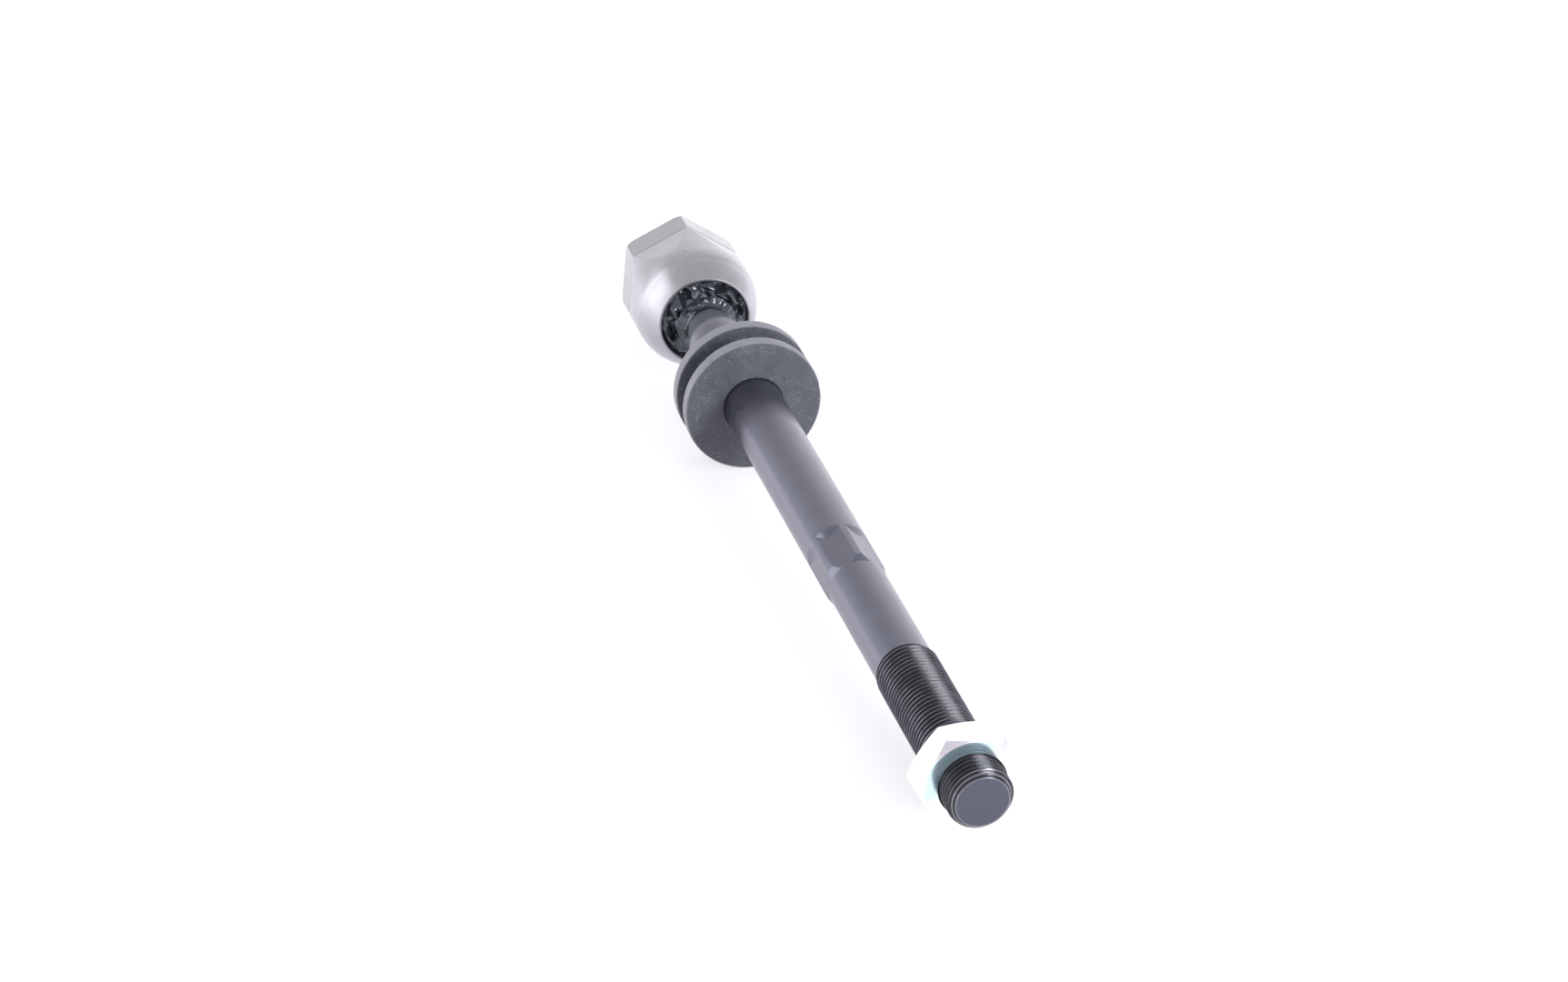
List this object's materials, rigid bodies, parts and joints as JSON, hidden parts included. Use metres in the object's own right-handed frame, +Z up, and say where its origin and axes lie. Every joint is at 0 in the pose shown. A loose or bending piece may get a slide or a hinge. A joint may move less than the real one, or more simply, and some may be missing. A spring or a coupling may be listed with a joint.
{
  "type": "inner tie rod",
  "caption": "Steering inner tie rod: ball joint in a hexagonal steel housing, shank with wrench flats, threaded end with a locknut, and a grooved rubber boot ring.",
  "frame": {"origin": "centre of the ball joint's ball, about which the rod swings", "axes": "+X along the rod from the ball to the threaded tip, +Z up, +Y to the left when looking along +X"},
  "size_m": [0.2963, 0.037, 0.037],
  "materials": {
    "housing_steel": "burnished forging",
    "rod_steel": "grey phosphate, satin",
    "nut_zinc": "clear zinc plate",
    "ring_rubber": "matt, with pale bloom",
    "shell_plastic": "moulded",
    "grease": "wet"
  },
  "bodies": {
    "housing": {"housing": "housing_steel", "bearing_shell": "shell_plastic", "grease_pack": "grease"},
    "swing_film": {"grease_film": "grease"},
    "swing_collar": {"grease_collar": "grease"},
    "rod": {"rod": "rod_steel"},
    "boot_ring": {"boot_seat_ring": "ring_rubber"},
    "locknut": {"locknut": "nut_zinc"}
  },
  "joints": [
    {"name": "swing_up_down", "type": "hinge", "parent": "housing", "child": "swing_film", "pos_m": [0, 0, 0], "axis": [0, 1, 0], "range_deg": [-18, 18], "deforming": ["grease_pack", "grease_collar"]},
    {"name": "swing_side", "type": "hinge", "parent": "swing_film", "child": "swing_collar", "pos_m": [0, 0, 0], "axis": [0, 0, 1], "range_deg": [-18, 18]},
    {"name": "rod_spin", "type": "hinge", "parent": "swing_collar", "child": "rod", "pos_m": [0, 0, 0], "axis": [1, 0, 0], "continuous": true},
    {"name": "ring_slide", "type": "slide", "parent": "rod", "child": "boot_ring", "axis": [1, 0, 0], "range_m": [-0.006, 0.078]},
    {"name": "locknut_travel", "type": "slide", "parent": "rod", "child": "locknut", "axis": [1, 0, 0], "range_m": [-0.038, 0.005]}
  ]
}
